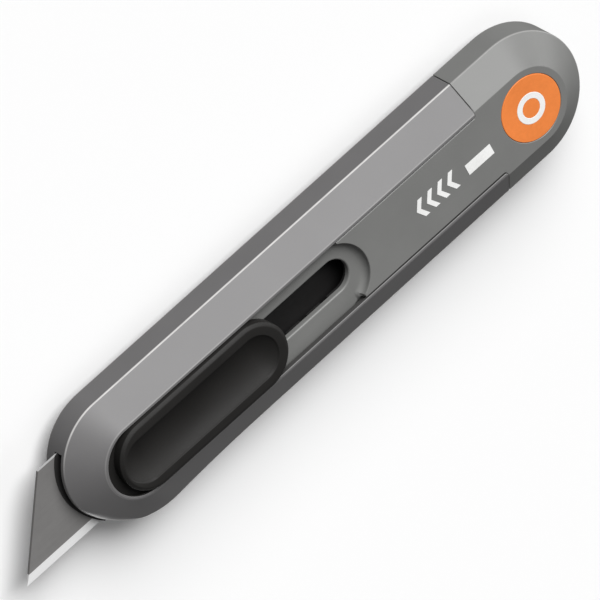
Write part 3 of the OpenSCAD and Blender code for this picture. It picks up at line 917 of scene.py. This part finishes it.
class KNIFE_OT_shells(bpy.types.Operator):
    """Builds the body's near and far half shells, with the slider's recess and slot"""
    bl_idname = "knife.shells"
    bl_label = "Body Shells"

    def execute(self, context):
        size = context.scene.knife_body
        near = half_shell("near_shell", size, FLAT, -RIM)
        pocket_r, lead = BADGE_HI.x + 0.06 * MM, 0.12 * MM
        pocket = revolve("pocket_cutter", 0, 0,
                         [(pocket_r, BADGE_LO.z - MID_Z), (pocket_r, FLAT - 0.1 * MM),
                          (pocket_r + lead, FLAT + HAIR),
                          (pocket_r + lead, FLAT + STAND_OUT)], 96)
        cut(near, recess_cutter(size), slot_cutter(size), pocket, mouth_cutter(size))
        smooth(near)
        settle(near, "body_grey", "handle", "body_shell")

        far = half_shell("far_shell", size, HALF_T, RIM + UNDER_SLEEVE, -1)
        head_r, lead_r, head_z = 2.35 * MM, 2.5 * MM, 1.7 * MM
        profile = [(head_r, -HALF_T + head_z), (head_r, -HALF_T + lead),
                   (lead_r, -HALF_T - HAIR), (lead_r, -HALF_T - STAND_OUT)]
        cut(far, *(revolve("head_cutter", SHELL_SCREW_X, y, profile, 48)
                   for y in (-SHELL_SCREW_Y, SHELL_SCREW_Y)))
        smooth(far)
        settle(far, "body_grey", "handle", "back_shell")
        return {"FINISHED"}


class KNIFE_OT_badge(bpy.types.Operator):
    """Builds the round badge and its inlaid ring, and finishes the printed marks"""
    bl_idname = "knife.badge"
    bl_label = "Badge and Marks"

    def execute(self, context):
        top, bottom = BADGE_HI.z - MID_Z, BADGE_LO.z - MID_Z
        radius, edge = BADGE_HI.x, 0.16 * MM
        outer, inner = RING_HI.x, 2.02 * MM
        groove = top - 0.25 * MM
        profile = [(radius, bottom)]
        profile += [(radius - edge * (1 - cos(a)), top - edge * (1 - sin(a)))
                    for a in spread(0, pi / 2, 4)]
        profile += [(radius * 0.75, top), (outer + HAIR, top), (outer + HAIR, groove),
                    (inner - HAIR, groove), (inner - HAIR, top), (0.5 * MM, top)]
        disc = revolve("badge", 0, 0, profile, 96)
        smooth(disc)
        settle(disc, "badge_orange", "handle", "badge_disc")
        ring_top, nick = RING_HI.z - MID_Z, 0.05 * MM
        profile = [(outer, groove), (outer, ring_top - nick), (outer - nick, ring_top),
                   (inner + nick, ring_top), (inner, ring_top - nick), (inner, groove)]
        rings = [[Vector((r * cos(a), r * sin(a), MID_Z + z)) for r, z in profile]
                 for a in spread(0, 2 * pi, 72)[:-1]]
        ring = loft("badge_inlay", rings, along=True)
        smooth(ring)
        settle(ring, "print_white", "handle", "badge_ring")
        dress("side_marks", "print_white")
        return {"FINISHED"}


def pad_levels(size, width, bottom):
    """Levels of the pad, from its bottom over the wall and the rim to the dish's centre:
    inset, height, share of the front rise and share of the dish's reach to the front."""
    break_r, turn_r, nick, soft = 0.12 * MM, 0.25 * MM, 0.05 * MM, 0.15 * MM
    shoulder = size.wall_z - turn_r
    levels = [(break_r, bottom, 0, 0), (0, bottom + break_r, 0, 0), (0, shoulder, 1, 0)]
    levels += [(turn_r * (1 - cos(a)), shoulder + turn_r * sin(a), 1, 0)
               for a in spread(0, pi / 3, 4)[1:]]
    dish_top = size.rim_z - size.dish_step
    levels += [(size.rim_slope - soft, size.rim_z - nick, 1, 0),
               (size.rim_slope + soft, size.rim_z, 1, 0),
               (size.dish_in - 2 * nick, size.rim_z, 0.5, 0.9),
               (size.dish_in, size.rim_z - nick, 0.45, 1),
               (size.dish_in + soft, dish_top, 0.3, 1)]
    dish_r, centre_r = width - size.dish_in - 0.25 * MM, 0.12 * MM
    lowest = max(size.rim_z - size.dish_depth, CORE_HI.z - MID_Z + 0.08 * MM)
    for t in spread(0, 1, 14):
        radius = dish_r * (1 - t) + centre_r * t
        fall = (dish_top - lowest) * (1 - (radius / dish_r) ** 2)
        levels.append((width - radius, dish_top - nick - fall, 0.3 * (1 - t), 1))
    return levels


class KNIFE_OT_pad(bpy.types.Operator):
    """Builds the soft thumb pad with its rim and dish, and finishes the button under it"""
    bl_idname = "knife.pad"
    bl_label = "Thumb Pad"

    def execute(self, context):
        size = context.scene.knife_pad
        width = CORE_HI.y + size.core_in
        x0, x1 = CORE_LO.x + CORE_HI.y, CORE_HI.x - CORE_HI.y
        bottom = PAD_LO.z - MID_Z
        rings = []
        for inset, z, rise, ahead in pad_levels(size, width, bottom):
            front = x1 + size.front + ahead * size.dish_front
            ring = stadium(x0, front, width - inset, z, 28)
            for point in ring:
                lift = max((point.x - front) / width, 0)
                point.z += size.front_rise * rise * lift * lift
            rings.append(ring)
        pad = loft("thumb_pad_skin", rings)
        top, broken_r = bottom + size.skirt_t, 0.12 * MM
        levels = [(broken_r, bottom), (0, bottom + broken_r), (0, top - broken_r),
                  (broken_r, top)]
        skirt = loft("skirt", [stadium(size.skirt_rear, PAD_HI.x - PAD_HI.y, PAD_HI.y - inset, z)
                               for inset, z in levels])
        cut(pad, skirt, operation="UNION")
        core = [stadium(x0, x1, CORE_HI.y + 0.05 * MM, z)
                for z in (bottom - STAND_OUT, CORE_HI.z - MID_Z)]
        cut(pad, loft("core_cutter", core))
        smooth(pad, 50)
        settle(pad, "pad_black", "button", "thumb_pad")
        dress("button_core", "button_black", bevel=0.1 * MM)
        return {"FINISHED"}


class KNIFE_OT_blade(bpy.types.Operator):
    """Finishes the blade, its carrier and the spare blades"""
    bl_idname = "knife.blade"
    bl_label = "Blade and Carrier"

    def execute(self, context):
        dress("blade", "blade_steel", bevel=0.04 * MM)
        dress("spare_blades", "blade_steel")
        dress("blade_carrier", "plate_steel", bevel=0.08 * MM)
        dress("carrier_shoes", "shoe_nylon", bevel=0.08 * MM)
        return {"FINISHED"}


class KNIFE_OT_mouth_shade(bpy.types.Operator):
    """Builds a black plate in the nose's mouth, a dark sheet of painted shade over the blade there
    """
    bl_idname = "knife.mouth"
    bl_label = "Mouth Plate"

    def execute(self, context):
        size = context.scene.knife_body
        spine, edge = nose_arcs(size)
        reach, side = size.plate_reach, 0.25 * MM
        low, high = BLADE_LO.y - side, BLADE_HI.y + side
        bounds = [(spine, size.nose_r_spine + reach, -pi / 2, size.nose_join),
                  (edge, size.nose_r_edge + reach, size.nose_join, pi / 2)]
        front = [p for centre, r, start, stop in bounds for p in arc(*centre, r, start, stop, 60)]
        front = [p for p in front if low <= p.y <= high and p.x > size.plate_rear + side]
        outline = [Vector((size.plate_rear, front[0].y)), *front,
                   Vector((size.plate_rear, front[-1].y))]
        plate = loft("mouth_shade_plate", [[Vector((*p, MID_Z + z)) for p in outline]
                                     for z in (size.plate_low, size.plate_high)])
        smooth(plate)
        settle(plate, "button_black", "handle")
        return {"FINISHED"}


class KNIFE_OT_inner(bpy.types.Operator):
    """Finishes the lock, the bed and the fasteners"""
    bl_idname = "knife.inner"
    bl_label = "Lock and Fasteners"

    def execute(self, context):
        for name, slot, bevel in (
                ("lock_rack", "plate_steel", 0.06), ("rack_rivets", "screw_steel", 0.06),
                ("blade_bed", "plate_steel", 0.06), ("lock_plate", "plate_steel", 0.06),
                ("leaf_spring", "spring_steel", 0), ("spare_magnet", "magnet_nickel", 0.15),
                ("body_screws", "screw_steel", 0.1), ("sleeve_screws", "screw_steel", 0.08),
                ("button_screws", "screw_steel", 0.05)):
            dress(name, slot, bevel * MM)
        return {"FINISHED"}


class KNIFE_OT_stage(bpy.types.Operator):
    """Builds the pale floor, the soft studio light and the camera"""
    bl_idname = "knife.stage"
    bl_label = "Stage"

    def execute(self, context):
        settings = context.scene.knife_stage
        scene = context.scene
        floor_size, below = 12.0, HAIR
        floor = loft("floor", [[Vector((x, y, -below)) for x in spread(-1, 1, 8)]
                               for y in spread(-1, 1, 8)], around=False, caps=False)
        floor.scale = (floor_size, floor_size, 1)
        if floor.data.polygons[0].normal.z < 0:
            floor.data.flip_normals()
        material, tree, shader = new_material("studio_floor")
        skin = place_group(tree, "fine_grain", Colour=(*context.scene.knife_colours.floor, 1),
                           Size=0.01, Mottle=0.0, Roughness=0.9, Spread=0.0)
        tree.links.new(skin["Colour"], shader.inputs["Base Color"])
        shader.inputs["Roughness"].default_value = 0.9
        shader.inputs["Specular IOR Level"].default_value = 0.1
        floor.data.materials.append(material)
        # the floor throws no light back up; the under light stands in for it
        floor.visible_diffuse = floor.visible_glossy = floor.visible_shadow = False

        world = bpy.data.worlds.new("studio")
        world.use_nodes = True
        world.node_tree.nodes["Background"].inputs[0].default_value = (1, 1, 1, 1)
        world.node_tree.nodes["Background"].inputs[1].default_value = settings.ambient
        scene.world = world

        for name, towards, strength, angle in (
                ("key", (-0.26, -0.72, 0.645), settings.key, settings.key_angle),
                ("rear", (-0.97, -0.05, 0.21), settings.rear, settings.rear_angle),
                ("under", (0.45, 0.75, -0.48), settings.under, settings.rear_angle)):
            lamp = bpy.data.lights.new(name, "SUN")
            lamp.energy, lamp.angle = strength, angle
            light = bpy.data.objects.new(name, lamp)
            light.rotation_euler = Vector(towards).to_track_quat("Z", "Y").to_euler()
            scene.collection.objects.link(light)

        across = Vector((-0.7160, 0.4012, 0.5713)).normalized()
        back = Vector((0.2732, -0.5921, 0.7581)).normalized()
        up = back.cross(across).normalized()
        across = up.cross(back)
        middle = Vector((0.05749, 0.00256, 0.00715))
        data = bpy.data.cameras.new("camera")
        data.sensor_width = 36
        data.lens = 36 * settings.distance / settings.frame_w
        data.clip_start, data.clip_end = 0.1, 3 * settings.distance
        camera = bpy.data.objects.new("camera", data)
        turn = Matrix((across, up, back)).transposed().to_4x4()
        camera.matrix_world = Matrix.Translation(middle + back * settings.distance) @ turn
        scene.collection.objects.link(camera)
        scene.camera = camera
        scene.view_settings.view_transform = "Standard"
        return {"FINISHED"}


class KNIFE_PT_panel(bpy.types.Panel):
    """Lists the knife's pieces, sizes and colours"""
    bl_idname = "KNIFE_PT_panel"
    bl_label = "Utility Knife"
    bl_space_type = "VIEW_3D"
    bl_region_type = "UI"
    bl_category = "Knife"

    def draw(self, context):
        for operator in OPERATORS:
            self.layout.operator(operator.bl_idname)
        for group in (context.scene.knife_body, context.scene.knife_pad,
                      context.scene.knife_colours, context.scene.knife_stage):
            box = self.layout.box()
            for key in group.__annotations__:
                box.prop(group, key)


GROUPS_OF_SIZES = (("knife_body", KnifeBodySizes), ("knife_pad", KnifePadSizes),
                   ("knife_colours", KnifeColours), ("knife_stage", KnifeStageSettings))
OPERATORS = (KNIFE_OT_stage, KNIFE_OT_sleeve, KNIFE_OT_shells, KNIFE_OT_badge, KNIFE_OT_pad,
             KNIFE_OT_blade, KNIFE_OT_mouth_shade, KNIFE_OT_inner)


def register():
    """Registers the sizes, the operators and the panel."""
    for name, group in GROUPS_OF_SIZES:
        bpy.utils.register_class(group)
        setattr(bpy.types.Scene, name, PointerProperty(type=group))
    for operator in OPERATORS:
        bpy.utils.register_class(operator)
    bpy.utils.register_class(KNIFE_PT_panel)


def unregister():
    """Takes back what register did."""
    bpy.utils.unregister_class(KNIFE_PT_panel)
    for operator in reversed(OPERATORS):
        bpy.utils.unregister_class(operator)
    for name, group in reversed(GROUPS_OF_SIZES):
        delattr(bpy.types.Scene, name)
        bpy.utils.unregister_class(group)


def main():
    """Builds every piece in turn."""
    register()
    for operator in OPERATORS:
        group, name = operator.bl_idname.split(".")
        getattr(getattr(bpy.ops, group), name)()


if __name__ == "__main__":
    main()
